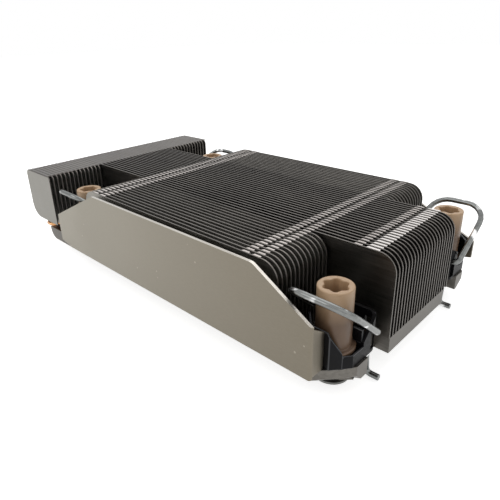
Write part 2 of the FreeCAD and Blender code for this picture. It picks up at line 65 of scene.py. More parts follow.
def deselectAll():
    if bpy.context.mode != "OBJECT":
        bpy.ops.object.mode_set(mode="OBJECT")
    bpy.ops.object.select_all(action="DESELECT")


def takeUp(piece):
    deselectAll()
    piece.select_set(True)
    bpy.context.view_layer.objects.active = piece


def editPiece(piece, kind="FACE"):
    takeUp(piece)
    bpy.ops.object.mode_set(mode="EDIT")
    bpy.ops.mesh.select_mode(type=kind)
    bpy.ops.mesh.select_all(action="DESELECT")


def leaveEdit():
    bpy.ops.object.mode_set(mode="OBJECT")


def pick(kind, rule):
    # Selects only the faces, edges or verts of the mesh in hand for which the rule holds
    mesh = bpy.context.object.data
    bpy.ops.mesh.select_mode(type={"faces": "FACE", "edges": "EDGE", "verts": "VERT"}[kind])
    bpy.ops.mesh.select_all(action="DESELECT")
    work = bmesh.from_edit_mesh(mesh)
    work.normal_update()
    found = [item for item in getattr(work, kind) if rule(item)]
    for item in found:
        item.select_set(True)
    work.select_flush_mode()
    bmesh.update_edit_mesh(mesh)
    if not found:
        raise RuntimeError(f"nothing picked on {bpy.context.object.name}")


def middleOf(item):
    return sum((vert.co for vert in item.verts), Vector()) / len(item.verts)


def near(value, target, room=0.02 * mm):
    return abs(value - target) < room


def edgeAt(axis, **place):
    # A rule that holds for edges along an axis (0, 1 or 2) at the given x, y or z
    def rule(edge):
        way = (edge.verts[1].co - edge.verts[0].co).normalized()
        middle = middleOf(edge)
        there = all(near(getattr(middle, name), value) for name, value in place.items())
        return abs(way[axis]) > 0.999 and there
    return rule


def turnOutwards():
    # Points every face of the mesh in hand outwards and ends the work on it
    bpy.ops.mesh.select_all(action="SELECT")
    bpy.ops.mesh.normals_make_consistent(inside=False)
    leaveEdit()


def settle():
    # Puts the place, turn and scale of the piece in hand into its mesh
    bpy.ops.object.transform_apply(location=True, rotation=True, scale=True)


def newPiece(name, mesh):
    piece = bpy.data.objects.new(name, mesh)
    bpy.context.scene.collection.objects.link(piece)
    return piece


def newLine(name, points):
    # Straight runs from point to point, with no faces yet
    mesh = bpy.data.meshes.new(name)
    mesh.from_pydata(points, [(step, step + 1) for step in range(len(points) - 1)], [])
    return newPiece(name, mesh)


def startBlock(name, low, high):
    deselectAll()
    low, high = Vector(low), Vector(high)
    bpy.ops.mesh.primitive_cube_add(size=1, location=(low + high) / 2, scale=high - low)
    settle()
    piece = bpy.context.object
    piece.name = name
    piece.data.name = name
    return piece


def copyOfNode(node, name):
    # The frame's solid as a clean mesh: doubles merged and flat faces made whole
    mesh = cadNodes[node].data.copy()
    mesh.materials.clear()
    mesh.name = name
    piece = newPiece(name, mesh)
    editPiece(piece)
    bpy.ops.mesh.select_all(action="SELECT")
    bpy.ops.mesh.remove_doubles(threshold=0.002 * mm)
    bpy.ops.mesh.dissolve_limited(angle_limit=math.radians(0.6))
    bpy.ops.mesh.normals_make_consistent(inside=False)
    bpy.ops.mesh.customdata_custom_splitnormals_clear()
    leaveEdit()
    return piece


def bevelEdges(piece, rule, width, segments, clamp=True):
    editPiece(piece, "EDGE")
    pick("edges", rule)
    bpy.ops.mesh.bevel(offset=width, segments=segments, affect="EDGES", clamp_overlap=clamp)
    leaveEdit()


def breakEdges(piece, width, segments=2, angle=32):
    # Takes the sharpness off every edge that turns by more than the angle
    takeUp(piece)
    soften = piece.modifiers.new("soften", "BEVEL")
    soften.width = width
    soften.segments = segments
    soften.limit_method = "ANGLE"
    soften.angle_limit = math.radians(angle)
    soften.miter_outer = "MITER_ARC"
    soften.use_clamp_overlap = True
    bpy.ops.object.modifier_apply(modifier=soften.name)


def smooth(piece, angle=32):
    # Rounds the shading of bends while the broad faces stay flat
    takeUp(piece)
    bpy.ops.object.shade_smooth_by_angle(angle=math.radians(angle))
    weighted = piece.modifiers.new("weighted", "WEIGHTED_NORMAL")
    weighted.keep_sharp = True
    weighted.weight = 100
    bpy.ops.object.modifier_apply(modifier=weighted.name)


def repeat(piece, step, count):
    takeUp(piece)
    row = piece.modifiers.new("row", "ARRAY")
    row.use_relative_offset = False
    row.use_constant_offset = True
    row.constant_offset_displace = step
    row.count = count
    bpy.ops.object.modifier_apply(modifier=row.name)


def paintNarrow(piece, material, limit):
    # Gives the narrow faces along broken edges a lighter material of their own, a painted highlight
    # where the edges catch the light
    mesh = piece.data
    mesh.materials.append(material)
    last = len(mesh.materials) - 1
    for face in mesh.polygons:
        spots = [mesh.vertices[index].co for index in face.vertices]
        sides = zip(spots, spots[1:] + spots[:1])
        longest = max((first - second).length for first, second in sides)
        if face.area < limit * longest:
            face.material_index = last


def joinPieces(name, pieces):
    deselectAll()
    for piece in pieces:
        piece.select_set(True)
    bpy.context.view_layer.objects.active = pieces[0]
    if len(pieces) > 1:
        bpy.ops.object.join()
    whole = bpy.context.object
    whole.name = name
    whole.data.name = name
    return whole


def copyPiece(piece, name, move, turned, about):
    # A copy with its own mesh, moved, and turned half round a vertical axis if asked
    mesh = piece.data.copy()
    mesh.name = name
    copy = newPiece(name, mesh)
    takeUp(copy)
    if turned:
        spin = Matrix.Translation(about) @ Matrix.Rotation(math.pi, 4, "Z")
        copy.matrix_world = Matrix.Translation(move) @ spin @ Matrix.Translation(-Vector(about))
    else:
        copy.location = move
    settle()
    return copy


def finishPiece(piece, slot, body, *replaced):
    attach(piece, body)
    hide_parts(*replaced)


# Camera

view = {
    "place": (0.0979, -0.1045, 0.0770),
    "ahead": (-0.6414, 0.6592, -0.3925),
    "right": (0.7237, 0.6896, -0.0246),
    "lens": 34.33,
    "shiftX": 0.0092,
    "shiftY": -0.041,
}


def setCamera():
    deselectAll()
    bpy.ops.object.camera_add(location=view["place"])
    camera = bpy.context.object
    back = -Vector(view["ahead"]).normalized()
    right = Vector(view["right"]).normalized()
    up = back.cross(right).normalized()
    right = up.cross(back)
    turn = Matrix((right, up, back)).transposed()
    camera.rotation_euler = turn.to_euler()
    camera.data.sensor_width = 36
    camera.data.lens = view["lens"]
    camera.data.shift_x = view["shiftX"]
    camera.data.shift_y = view["shiftY"]
    camera.data.clip_start = 0.005
    bpy.context.scene.camera = camera


setCamera()
print("camera set")


# Node helpers for the materials

def colour(hexCode):
    # A screen colour such as "b4ab9e" as the linear values that a socket takes
    parts = [int(hexCode[start:start + 2], 16) / 255 for start in (0, 2, 4)]
    linear = [part / 12.92 if part < 0.04045 else ((part + 0.055) / 1.055) ** 2.4 for part in parts]
    return (*linear, 1)


def newMaterial(name, roughness, metallic):
    material = bpy.data.materials.new(name)
    material.use_nodes = True
    shader = material.node_tree.nodes["Principled BSDF"]
    shader.inputs["Roughness"].default_value = roughness
    shader.inputs["Metallic"].default_value = metallic
    return material, material.node_tree, shader


def addNode(tree, kind, place, **settings):
    node = tree.nodes.new(kind)
    node.location = place
    for name, value in settings.items():
        setattr(node, name, value)
    return node


def newGroup(name, inputs, outputs):
    group = bpy.data.node_groups.new(name, "ShaderNodeTree")
    for label, kind, value in inputs:
        socket = group.interface.new_socket(label, in_out="INPUT", socket_type=kind)
        if value is not None:
            socket.default_value = value
    for label, kind in outputs:
        group.interface.new_socket(label, in_out="OUTPUT", socket_type=kind)
    source = addNode(group, "NodeGroupInput", (-900, 0))
    target = addNode(group, "NodeGroupOutput", (600, 0))
    return group, source.outputs, target.inputs


def useGroup(tree, group, place, **values):
    node = addNode(tree, "ShaderNodeGroup", place, node_tree=group)
    for label, value in values.items():
        node.inputs[label].default_value = value
    return node


def mathNode(tree, operation, first, second, place, clamp=False):
    node = addNode(tree, "ShaderNodeMath", place, operation=operation, use_clamp=clamp)
    for socket, value in zip(node.inputs, (first, second)):
        if isinstance(value, (int, float)):
            socket.default_value = value
        else:
            tree.links.new(value, socket)
    return node.outputs[0]


def rangeNode(tree, value, fromLow, fromHigh, toLow=0.0, toHigh=1.0, place=(0, 0)):
    node = addNode(tree, "ShaderNodeMapRange", place)
    tree.links.new(value, node.inputs["Value"])
    for label, number in (
        ("From Min", fromLow), ("From Max", fromHigh), ("To Min", toLow), ("To Max", toHigh),
    ):
        node.inputs[label].default_value = number
    return node.outputs["Result"]


def mixColour(tree, factor, first, second, place):
    node = addNode(tree, "ShaderNodeMix", place, data_type="RGBA")
    # inputs 0, 6 and 7 are the factor and the two colours, and output 2 is the mixed colour
    for spot, value in ((0, factor), (6, first), (7, second)):
        socket = node.inputs[spot]
        if isinstance(value, (int, float, tuple)):
            socket.default_value = value
        else:
            tree.links.new(value, socket)
    return node.outputs[2]


def bumpNode(tree, shader, height, strength, depth):
    bump = addNode(tree, "ShaderNodeBump", (-200, -300))
    bump.inputs["Strength"].default_value = strength
    bump.inputs["Distance"].default_value = depth
    tree.links.new(height, bump.inputs["Height"])
    tree.links.new(bump.outputs["Normal"], shader.inputs["Normal"])


# Effects that several materials share

def makeRolledGrain():
    # Fine lines left by rolling or brushing, along X, with a little cloudiness
    group, given, out = newGroup(
        "rolledGrain",
        [("Vector", "NodeSocketVector", None), ("Fineness", "NodeSocketFloat", 2600.0),
         ("Stretch", "NodeSocketFloat", 0.04)],
        [("Lines", "NodeSocketFloat"), ("Cloud", "NodeSocketFloat")],
    )
    squeeze = addNode(group, "ShaderNodeCombineXYZ", (-700, -150))
    group.links.new(given["Stretch"], squeeze.inputs["X"])
    squeeze.inputs["Y"].default_value = 1
    squeeze.inputs["Z"].default_value = 1
    stretched = addNode(group, "ShaderNodeVectorMath", (-500, 0), operation="MULTIPLY")
    group.links.new(given["Vector"], stretched.inputs[0])
    group.links.new(squeeze.outputs[0], stretched.inputs[1])
    lines = addNode(group, "ShaderNodeTexNoise", (-250, 100))
    lines.inputs["Detail"].default_value = 4
    lines.inputs["Roughness"].default_value = 0.6
    group.links.new(stretched.outputs[0], lines.inputs["Vector"])
    group.links.new(given["Fineness"], lines.inputs["Scale"])
    cloud = addNode(group, "ShaderNodeTexNoise", (-250, -250))
    cloud.inputs["Scale"].default_value = 42
    cloud.inputs["Detail"].default_value = 3
    group.links.new(given["Vector"], cloud.inputs["Vector"])
    group.links.new(rangeNode(group, lines.outputs["Fac"], 0.3, 0.7), out["Lines"])
    group.links.new(rangeNode(group, cloud.outputs["Fac"], 0.32, 0.68), out["Cloud"])
    return group


def makeSpecks():
    # Scattered small pits or dust, a share of the cells of a fine pattern
    group, given, out = newGroup(
        "specks",
        [("Vector", "NodeSocketVector", None), ("Fineness", "NodeSocketFloat", 900.0),
         ("Size", "NodeSocketFloat", 0.16), ("Share", "NodeSocketFloat", 0.3)],
        [("Mask", "NodeSocketFloat")],
    )
    cells = addNode(group, "ShaderNodeTexVoronoi", (-500, 0))
    group.links.new(given["Vector"], cells.inputs["Vector"])
    group.links.new(given["Fineness"], cells.inputs["Scale"])
    chosen = addNode(group, "ShaderNodeSeparateColor", (-250, -150))
    group.links.new(cells.outputs["Color"], chosen.inputs[0])
    kept = mathNode(group, "LESS_THAN", chosen.outputs[0], given["Share"], (0, -150))
    inside = mathNode(group, "LESS_THAN", cells.outputs["Distance"], given["Size"], (0, 100))
    group.links.new(mathNode(group, "MULTIPLY", kept, inside, (250, 0)), out["Mask"])
    return group


def makeEdgeWear():
    # Bright where the form turns outwards, broken up by noise
    group, given, out = newGroup(
        "edgeWear",
        [("Vector", "NodeSocketVector", None), ("Start", "NodeSocketFloat", 0.53),
         ("Full", "NodeSocketFloat", 0.6)],
        [("Mask", "NodeSocketFloat")],
    )
    form = addNode(group, "ShaderNodeNewGeometry", (-700, 0))
    rough = addNode(group, "ShaderNodeTexNoise", (-700, -300))
    rough.inputs["Scale"].default_value = 700
    rough.inputs["Detail"].default_value = 3
    group.links.new(given["Vector"], rough.inputs["Vector"])
    shake = rangeNode(group, rough.outputs["Fac"], 0.3, 0.7, -0.015, 0.015, (-450, -300))
    turned = mathNode(group, "ADD", form.outputs["Pointiness"], shake, (-250, 0))
    span = addNode(group, "ShaderNodeMapRange", (0, 0))
    group.links.new(turned, span.inputs["Value"])
    group.links.new(given["Start"], span.inputs["From Min"])
    group.links.new(given["Full"], span.inputs["From Max"])
    group.links.new(span.outputs["Result"], out["Mask"])
    return group


rolledGrain = makeRolledGrain()
specks = makeSpecks()
edgeWear = makeEdgeWear()


def objectPlace(tree):
    return addNode(tree, "ShaderNodeTexCoord", (-1100, 0)).outputs["Object"]


# Materials

sheetLook = {
    "lines": 0.35,
    # the three glint values set the size and share of the painted white glints
    "glintFineness": 260,
    "glintFrom": 0.6,
    "glintFull": 0.68,
    "smoother": 0.06,
    "rougher": 0.08,
    "bump": 0.25,
    "bumpDepth": 0.02 * mm,
}


def makeSheetMetal(name, base, deep, bright, roughness, fineness, wearShare=0, glints=False):
    # Rolled sheet: lines along X, clouds of tone, and worn bends or small white painted glints if
    # asked
    material, tree, shader = newMaterial(name, roughness, 1.0)
    place = objectPlace(tree)
    grain = useGroup(tree, rolledGrain, (-800, 100), Fineness=fineness)
    tree.links.new(place, grain.inputs["Vector"])
    cloudy = mixColour(tree, grain.outputs["Cloud"], colour(deep), colour(base), (-550, 200))
    lined = mixColour(
        tree, mathNode(tree, "MULTIPLY", grain.outputs["Lines"], sheetLook["lines"], (-550, 0)),
        cloudy, colour(bright), (-350, 150),
    )
    toneAndPaintedLight = lined
    if wearShare:
        wear = useGroup(tree, edgeWear, (-800, -250))
        tree.links.new(place, wear.inputs["Vector"])
        toneAndPaintedLight = mixColour(
            tree, mathNode(tree, "MULTIPLY", wear.outputs["Mask"], wearShare, (-550, -250)),
            lined, colour(bright), (-150, 100),
        )
    # painted highlight: small patches of the colour turned white, standing in for glints
    if glints:
        glintNoise = addNode(tree, "ShaderNodeTexNoise", (-500, 450))
        glintNoise.inputs["Scale"].default_value = sheetLook["glintFineness"]
        glintNoise.inputs["Detail"].default_value = 1
        tree.links.new(place, glintNoise.inputs["Vector"])
        glintMask = rangeNode(
            tree, glintNoise.outputs["Fac"], sheetLook["glintFrom"], sheetLook["glintFull"], place=(-300, 450)
        )
        toneAndPaintedLight = mixColour(tree, glintMask, toneAndPaintedLight, (1, 1, 1, 1), (-50, 300))
    tree.links.new(toneAndPaintedLight, shader.inputs["Base Color"])
    spread = rangeNode(
        tree, grain.outputs["Lines"], 0, 1,
        roughness - sheetLook["smoother"], roughness + sheetLook["rougher"], (-350, -150),
    )
    tree.links.new(spread, shader.inputs["Roughness"])
    bumpNode(tree, shader, grain.outputs["Lines"], sheetLook["bump"], sheetLook["bumpDepth"])
    return material


plateLook = {
    "fineness": 5200.0,
    "stretch": 0.15,
    "speckFineness": 420.0,
    "speckSize": 0.12,
    "speckShare": 0.08,
    "paintedShadeDeepestAt": 60 * mm,
    "paintedShadeGoneAt": -40 * mm,
    "clouds": 0.16,
    "lines": 0.07,
    "specks": 0.45,
    "smoother": 0.04,
    "rougher": 0.06,
    "bump": 0.06,
    "bumpDepth": 0.01 * mm,
}


def makePlateMetal(name, base, deep, bright, roughness):
    # Satin plate with a fine grain, sparse small specks, and painted shade that deepens towards the
    # front
    material, tree, shader = newMaterial(name, roughness, 1.0)
    place = objectPlace(tree)
    grain = useGroup(
        tree, rolledGrain, (-800, 100), Fineness=plateLook["fineness"], Stretch=plateLook["stretch"]
    )
    tree.links.new(place, grain.inputs["Vector"])
    dust = useGroup(
        tree, specks, (-800, -150), Fineness=plateLook["speckFineness"],
        Size=plateLook["speckSize"], Share=plateLook["speckShare"],
    )
    tree.links.new(place, dust.inputs["Vector"])
    # painted shade: the colour darkens towards the front along X, mixed with clouds of tone
    split = addNode(tree, "ShaderNodeSeparateXYZ", (-900, 400))
    tree.links.new(place, split.inputs[0])
    along = rangeNode(
        tree, split.outputs["X"], plateLook["paintedShadeDeepestAt"], plateLook["paintedShadeGoneAt"], place=(-700, 400)
    )
    cloudAndPaintedShade = mathNode(
        tree, "MULTIPLY_ADD", grain.outputs["Cloud"], plateLook["clouds"], (-600, 300), clamp=True
    )
    tree.links.new(along, cloudAndPaintedShade.node.inputs[2])
    cloudy = mixColour(tree, cloudAndPaintedShade, colour(deep), colour(base), (-450, 200))
    lined = mixColour(
        tree, mathNode(tree, "MULTIPLY", grain.outputs["Lines"], plateLook["lines"], (-550, 0)),
        cloudy, colour(bright), (-350, 150),
    )
    dusted = mixColour(
        tree, mathNode(tree, "MULTIPLY", dust.outputs["Mask"], plateLook["specks"], (-550, -150)),
        lined, colour(bright), (-250, 50),
    )
    tree.links.new(dusted, shader.inputs["Base Color"])
    spread = rangeNode(
        tree, grain.outputs["Cloud"], 0, 1,
        roughness - plateLook["smoother"], roughness + plateLook["rougher"], (-350, -200),
    )
    tree.links.new(spread, shader.inputs["Roughness"])
    bumpNode(tree, shader, grain.outputs["Lines"], plateLook["bump"], plateLook["bumpDepth"])
    return material


plasticLook = {
    "cloudFineness": 180,
    "paintedLightMost": 0.75,
    "smoother": 0.07,
    "rougher": 0.07,
    "bump": 0.3,
    "bumpDepth": 0.02 * mm,
}


def makePlastic(name, base, deep, bright, roughness, fineness, paintedLightTop=None):
    # Moulded plastic: a fine grain, a little cloudiness, and painted light towards the top if
    # asked, with the lower part left in painted shade
    material, tree, shader = newMaterial(name, roughness, 0.0)
    place = objectPlace(tree)
    grain = addNode(tree, "ShaderNodeTexNoise", (-800, 100))
    grain.inputs["Scale"].default_value = fineness
    grain.inputs["Detail"].default_value = 5
    tree.links.new(place, grain.inputs["Vector"])
    cloud = addNode(tree, "ShaderNodeTexNoise", (-800, 350))
    cloud.inputs["Scale"].default_value = plasticLook["cloudFineness"]
    tree.links.new(place, cloud.inputs["Vector"])
    cloudy = mixColour(
        tree, rangeNode(tree, cloud.outputs["Fac"], 0.35, 0.65, place=(-600, 300)),
        colour(deep), colour(base), (-400, 200),
    )
    toneAndPaintedLight = cloudy
    # painted light: paler with height, and the darker colour below stands in for shade
    if paintedLightTop:
        split = addNode(tree, "ShaderNodeSeparateXYZ", (-600, 550))
        tree.links.new(place, split.inputs[0])
        high = rangeNode(tree, split.outputs["Z"], *paintedLightTop, place=(-400, 500))
        toneAndPaintedLight = mixColour(
            tree, mathNode(tree, "MULTIPLY", high, plasticLook["paintedLightMost"], (-200, 500)),
            toneAndPaintedLight, colour(bright), (0, 300),
        )
    tree.links.new(toneAndPaintedLight, shader.inputs["Base Color"])
    spread = rangeNode(
        tree, grain.outputs["Fac"], 0.3, 0.7,
        roughness - plasticLook["smoother"], roughness + plasticLook["rougher"], (-350, -150),
    )
    tree.links.new(spread, shader.inputs["Roughness"])
    bumpNode(tree, shader, grain.outputs["Fac"], plasticLook["bump"], plasticLook["bumpDepth"])
    return material


# finPaintedShade is a darker copy of the fin sheet: painted shade on the centre block's fins
finPaintedShade = makeSheetMetal("finPaintedShade", "6c6862", "4a4846", "7f7b75", 0.34, 2600.0)
finSheet = makeSheetMetal("finSheet", "8a8781", "7a7872", "a29f98", 0.42, 2600.0)
finEdge = makeSheetMetal("finEdge", "625e5a", "4f4b48", "96918b", 0.4, 2600.0)
tabSheet = makeSheetMetal("tabSheet", "cfc6c0", "aca39e", "f0eae5", 0.28, 3000.0)
# tabPaintedLit is a lighter copy of tabSheet: painted light on the front tabs
tabPaintedLit = makeSheetMetal("tabPaintedLit", "f2ece8", "ddd6d1", "fbf9f7", 0.24, 3000.0)
lipSheet = makeSheetMetal("lipSheet", "6d6965", "605c59", "8f8a85", 0.4, 500.0)
pipeSkin = makeSheetMetal("pipeSkin", "d79f68", "b3784a", "f2c795", 0.3, 900.0, wearShare=0.4)
baseMetal = makeSheetMetal("baseMetal", "64615c", "53504c", "918d87", 0.42, 1400.0)
# baseEdgeHighlight is a lighter copy of the base metal: painted highlight on its broken edges
baseEdgeHighlight = makeSheetMetal("baseEdgeHighlight", "9c9893", "86827d", "cbc7c1", 0.36, 1400.0)
plateSatin = makePlateMetal("plateSatin", "8b867b", "716a5d", "b0a99d", 0.38)
# plateCutHighlight: the bare cut metal, made brighter as a painted highlight
plateCutHighlight = makeSheetMetal("plateCutHighlight", "bdb8b0", "a39d95", "f4f0e9", 0.28, 1800.0)
# the wire's glints are painted white highlights
wireSteel = makeSheetMetal("wireSteel", "747675", "626463", "a5a6a4", 0.24, 1200.0, glints=True)
clipSteel = makeSheetMetal("clipSteel", "5c5c5a", "4c4c4a", "8d8d8a", 0.32, 1200.0)
# the nut's pale top and dark foot are painted light and painted shade
nutPlastic = makePlastic(
    "nutPlastic", "705844", "614b3a", "ddba94", 0.42, 3500.0, paintedLightTop=(19 * mm, 26.6 * mm)
)
holderPlastic = makePlastic("holderPlastic", "0d0d10", "08080a", "26272b", 0.42, 3000.0)
holderPlastic.node_tree.nodes["Principled BSDF"].inputs["Specular IOR Level"].default_value = 0.12
# holderEdgeHighlight is a lighter copy of the holder plastic: painted highlight on its broken edges
holderEdgeHighlight = makePlastic("holderEdgeHighlight", "2c2d31", "202125", "3c3d42", 0.4, 3000.0)
print("materials made")


# Floor, background and lamps

studio = {
    "floorHalf": 1.6,
    "floorTone": "f4f4f3",
    "floorLift": 0.74,
    "skyForObject": 0.42,
    "lamps": [
        # place, size, watts
        ((-0.35, -0.75, 0.75), 0.7, 2.1),
        ((0.75, 0.1, 0.55), 0.6, 0.5),
        ((-0.2, 0.6, 0.9), 0.9, 2.8),
    ],
}


def seenWhite(tree):
    # 1 for rays from the camera, a gloss or through glass, which see the white studio
    path = addNode(tree, "ShaderNodeLightPath", (-900, -200))
    seen = mathNode(
        tree, "ADD", path.outputs["Is Camera Ray"], path.outputs["Is Glossy Ray"], (-650, -200)
    )
    glass = path.outputs["Is Transmission Ray"]
    return mathNode(tree, "ADD", seen, glass, (-450, -200), clamp=True)


def makeStudio():
    world = bpy.context.scene.world or bpy.data.worlds.new("studioSky")
    bpy.context.scene.world = world
    world.use_nodes = True
    tree = world.node_tree
    sky = tree.nodes["Background"]
    sky.inputs["Color"].default_value = (1, 1, 1, 1)
    strength = rangeNode(tree, seenWhite(tree), 0, 1, studio["skyForObject"], 1.0, (-250, -200))
    tree.links.new(strength, sky.inputs["Strength"])

    deselectAll()
    bpy.ops.mesh.primitive_plane_add(size=2 * studio["floorHalf"], location=(0, 0, cadLow.z))
    settle()
    floor = bpy.context.object
    floor.name = "floor"
    material, tree, shader = newMaterial("paleFloor", 0.9, 0.0)
    shader.inputs["Specular IOR Level"].default_value = 0.0
    cloud = addNode(tree, "ShaderNodeTexNoise", (-700, 200))
    cloud.inputs["Scale"].default_value = 3
    tree.links.new(objectPlace(tree), cloud.inputs["Vector"])
    tone = mixColour(
        tree, cloud.outputs["Fac"], colour(studio["floorTone"]), colour("f8f8f7"), (-400, 200)
    )
    tree.links.new(tone, shader.inputs["Base Color"])
    shader.inputs["Emission Color"].default_value = (1, 1, 1, 1)
    lift = mathNode(tree, "MULTIPLY", seenWhite(tree), studio["floorLift"], (-250, -200))
    tree.links.new(lift, shader.inputs["Emission Strength"])
    floor.data.materials.append(material)

    for place, size, watts in studio["lamps"]:
        bpy.ops.object.light_add(type="AREA", location=place)
        lamp = bpy.context.object
        lamp.data.shape = "SQUARE"
        lamp.data.size = size
        lamp.data.energy = watts
        lamp.rotation_euler = (-Vector(place)).to_track_quat("-Z", "Y").to_euler()


makeStudio()
print("studio set")

bpy.context.scene.view_settings.view_transform = "Standard"


# Fins: one blank with its folded tabs is modelled, then repeated along Y

finCut = {
    "thick": 0.4 * mm,
    "pitch": 1.525 * mm,
    "frontRound": 4.6 * mm,
    "rearTopRound": 2.2 * mm,
    "rearLowRound": 4.9 * mm,
    "lipRound": 1.5 * mm,
    "roundSteps": 7,
    "stepX": -50 * mm,
    "edgeBreak": 0.07 * mm,
}
tabCut = {
    "gap": 0.42 * mm,
    "brightGap": 0.2 * mm,
    "lipGap": 0.02 * mm,
    "foldRound": 0.38 * mm,
    "lipFoldRound": 0.095 * mm,
    "foldSteps": 3,
    "tipDrop": 0.1 * mm,
    "tipNarrow": 0.84,
    # stretches of the tabs along X in mm, from the rear of the block to its front
    "rearRows": ((-36.6, -33.6), (-32.6, -29.6)),
    "middleRows": ((28.7, 31.1), (32.1, 34.5)),
    "frontRows": ((45.9, 48.1), (49.1, 52.6)),
    # forward of this the tabs take the lighter copy, painted light
    "paintedLitFrom": 49 * mm,
}


def bevelCorner(piece, x, z, radius):
    bevelEdges(piece, edgeAt(1, x=x, z=z), radius, finCut["roundSteps"], clamp=False)


def makeTab(start, stop, edge, top, isLip):
    # A tab folded over from the fin's top edge to the next fin, narrower at its tip; a lip is a
    # long plain one that closes the top of the rear fins
    # the front tabs are painted lighter: painted light where the front strip catches the lamps
    bright = start > tabCut["paintedLitFrom"]
    reach = finCut["pitch"] - tabCut["lipGap" if isLip else "brightGap" if bright else "gap"]
    foldRound = tabCut["lipFoldRound" if isLip else "foldRound"]
    tab = startBlock("tab", (start, edge, top - finCut["thick"]), (stop, edge + reach, top))
    bevelEdges(tab, edgeAt(0, y=edge, z=top), foldRound, tabCut["foldSteps"])
    if not isLip:
        middle = (start + stop) / 2
        editPiece(tab)
        pick("faces", lambda face: face.normal.y > 0.9)
        bpy.ops.transform.resize(
            value=(tabCut["tipNarrow"], 1, 1), center_override=(middle, edge + reach, top)
        )
        bpy.ops.transform.translate(value=(0, 0, -tabCut["tipDrop"]))
        leaveEdit()
    tab.data.materials.append(lipSheet if isLip else tabPaintedLit if bright else tabSheet)
    return tab


def makeFinRow(name, node, blank, rows, lips=()):
    low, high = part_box(node)
    count = round((high.y - low.y) / finCut["pitch"])
    # the centre fins take the darker copy, painted shade; the other fins take the plain fin sheet
    blank.data.materials.append(finPaintedShade if node == "centre_fins" else finSheet)
    blank.data.materials.append(finEdge)
    tabs = [makeTab(start * mm, stop * mm, low.y, high.z, False) for start, stop in rows]
    tabs += [makeTab(start, stop, low.y, high.z, True) for start, stop in lips]
    fin = joinPieces(name, [blank] + tabs)
    breakEdges(fin, finCut["edgeBreak"], segments=1, angle=40)
    for face in fin.data.polygons:
        if face.material_index == 0 and abs(face.normal.y) < 0.9:
            face.material_index = 1
    repeat(fin, (0, finCut["pitch"], 0), count)
    smooth(fin, angle=30)
    finishPiece(fin, "fin_metal", "heatsink", node)
    print(name, "made,", count, "fins")


def makeCentreFins():
    low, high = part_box("centre_fins")
    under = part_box("end_fins_near")[0].z
    blank = startBlock(
        "centreBlank",
        (finCut["stepX"], low.y, low.z), (high.x, low.y + finCut["thick"], high.z),
    )
    editPiece(blank)
    bpy.ops.mesh.select_all(action="SELECT")
    bpy.ops.mesh.bisect(plane_co=(0, 0, under), plane_no=(0, 0, 1))
    pick("faces", lambda face: face.normal.x < -0.9 and middleOf(face).z > under)
    bpy.ops.mesh.extrude_region_move(
        TRANSFORM_OT_translate={"value": (low.x - finCut["stepX"], 0, 0)}
    )
    leaveEdit()
    bevelCorner(blank, high.x, high.z, finCut["frontRound"])
    bevelCorner(blank, low.x, high.z, finCut["rearTopRound"])
    bevelCorner(blank, low.x, under, finCut["rearLowRound"])
    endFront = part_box("end_fins_near")[1].x
    lip = (low.x + finCut["rearTopRound"], endFront - finCut["lipRound"])
    rows = tabCut["rearRows"] + tabCut["middleRows"] + tabCut["frontRows"]
    makeFinRow("centreFins", "centre_fins", blank, rows, (lip,))


def makeSideFins(name, node):
    low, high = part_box(node)
    blank = startBlock("sideBlank", low, (high.x, low.y + finCut["thick"], high.z))
    bevelCorner(blank, high.x, high.z, finCut["frontRound"])
    bevelCorner(blank, low.x, high.z, finCut["frontRound"])
    makeFinRow(name, node, blank, tabCut["rearRows"] + tabCut["middleRows"])


def makeEndFins(name, node):
    low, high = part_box(node)
    blank = startBlock("endBlank", low, (high.x, low.y + finCut["thick"], high.z))
    bevelCorner(blank, low.x, high.z, finCut["rearTopRound"])
    bevelCorner(blank, low.x, low.z, finCut["rearLowRound"])
    bevelCorner(blank, high.x, high.z, finCut["lipRound"])
    lip = (low.x + finCut["rearTopRound"], high.x - finCut["lipRound"])
    makeFinRow(name, node, blank, (), (lip,))


makeCentreFins()
makeSideFins("sideFinsNear", "side_fins_near")
makeSideFins("sideFinsFar", "side_fins_far")
makeEndFins("endFinsNear", "end_fins_near")
makeEndFins("endFinsFar", "end_fins_far")


# Base plate

baseCut = {
    "edgeBreak": 0.3 * mm,
    "breakSteps": 2,
    "earLow": 4.5 * mm,
    "earFrom": 50 * mm,
    "earOuter": 30.4 * mm,
    "earTaper": 1.9 * mm,
    "shortEdge": 2 * mm,
}


def makeBase():
    base = copyOfNode("base_plate", "basePlate")

    def underEarRim(edge):
        # The long level edges beneath the front ears, along their outer sides
        middle = middleOf(edge)
        along = edge.verts[1].co - edge.verts[0].co
        lowDown = near(middle.z, baseCut["earLow"]) and abs(along.z) < 0.01 * mm
        onEar = middle.x > baseCut["earFrom"]
        outside = abs(middle.y) > baseCut["earOuter"]
        return lowDown and onEar and outside and along.length > baseCut["shortEdge"]

    bevelEdges(base, underEarRim, baseCut["earTaper"], 1, clamp=False)
    breakEdges(base, baseCut["edgeBreak"], baseCut["breakSteps"])
    base.data.materials.append(baseMetal)
    paintNarrow(base, baseEdgeHighlight, baseCut["edgeBreak"])
    smooth(base)
    finishPiece(base, "base_metal", "heatsink", "base_plate")


makeBase()
print("base made")


# Side plates: bent sheet with rounded folds, and cut edges that face upwards painted bright

plateCutSizes = {
    "foldRound": 1.9 * mm,
    "footRound": 0.6 * mm,
    "foldSteps": 6,
    "edgeBreak": 0.09 * mm,
    "thick": 0.8 * mm,
}


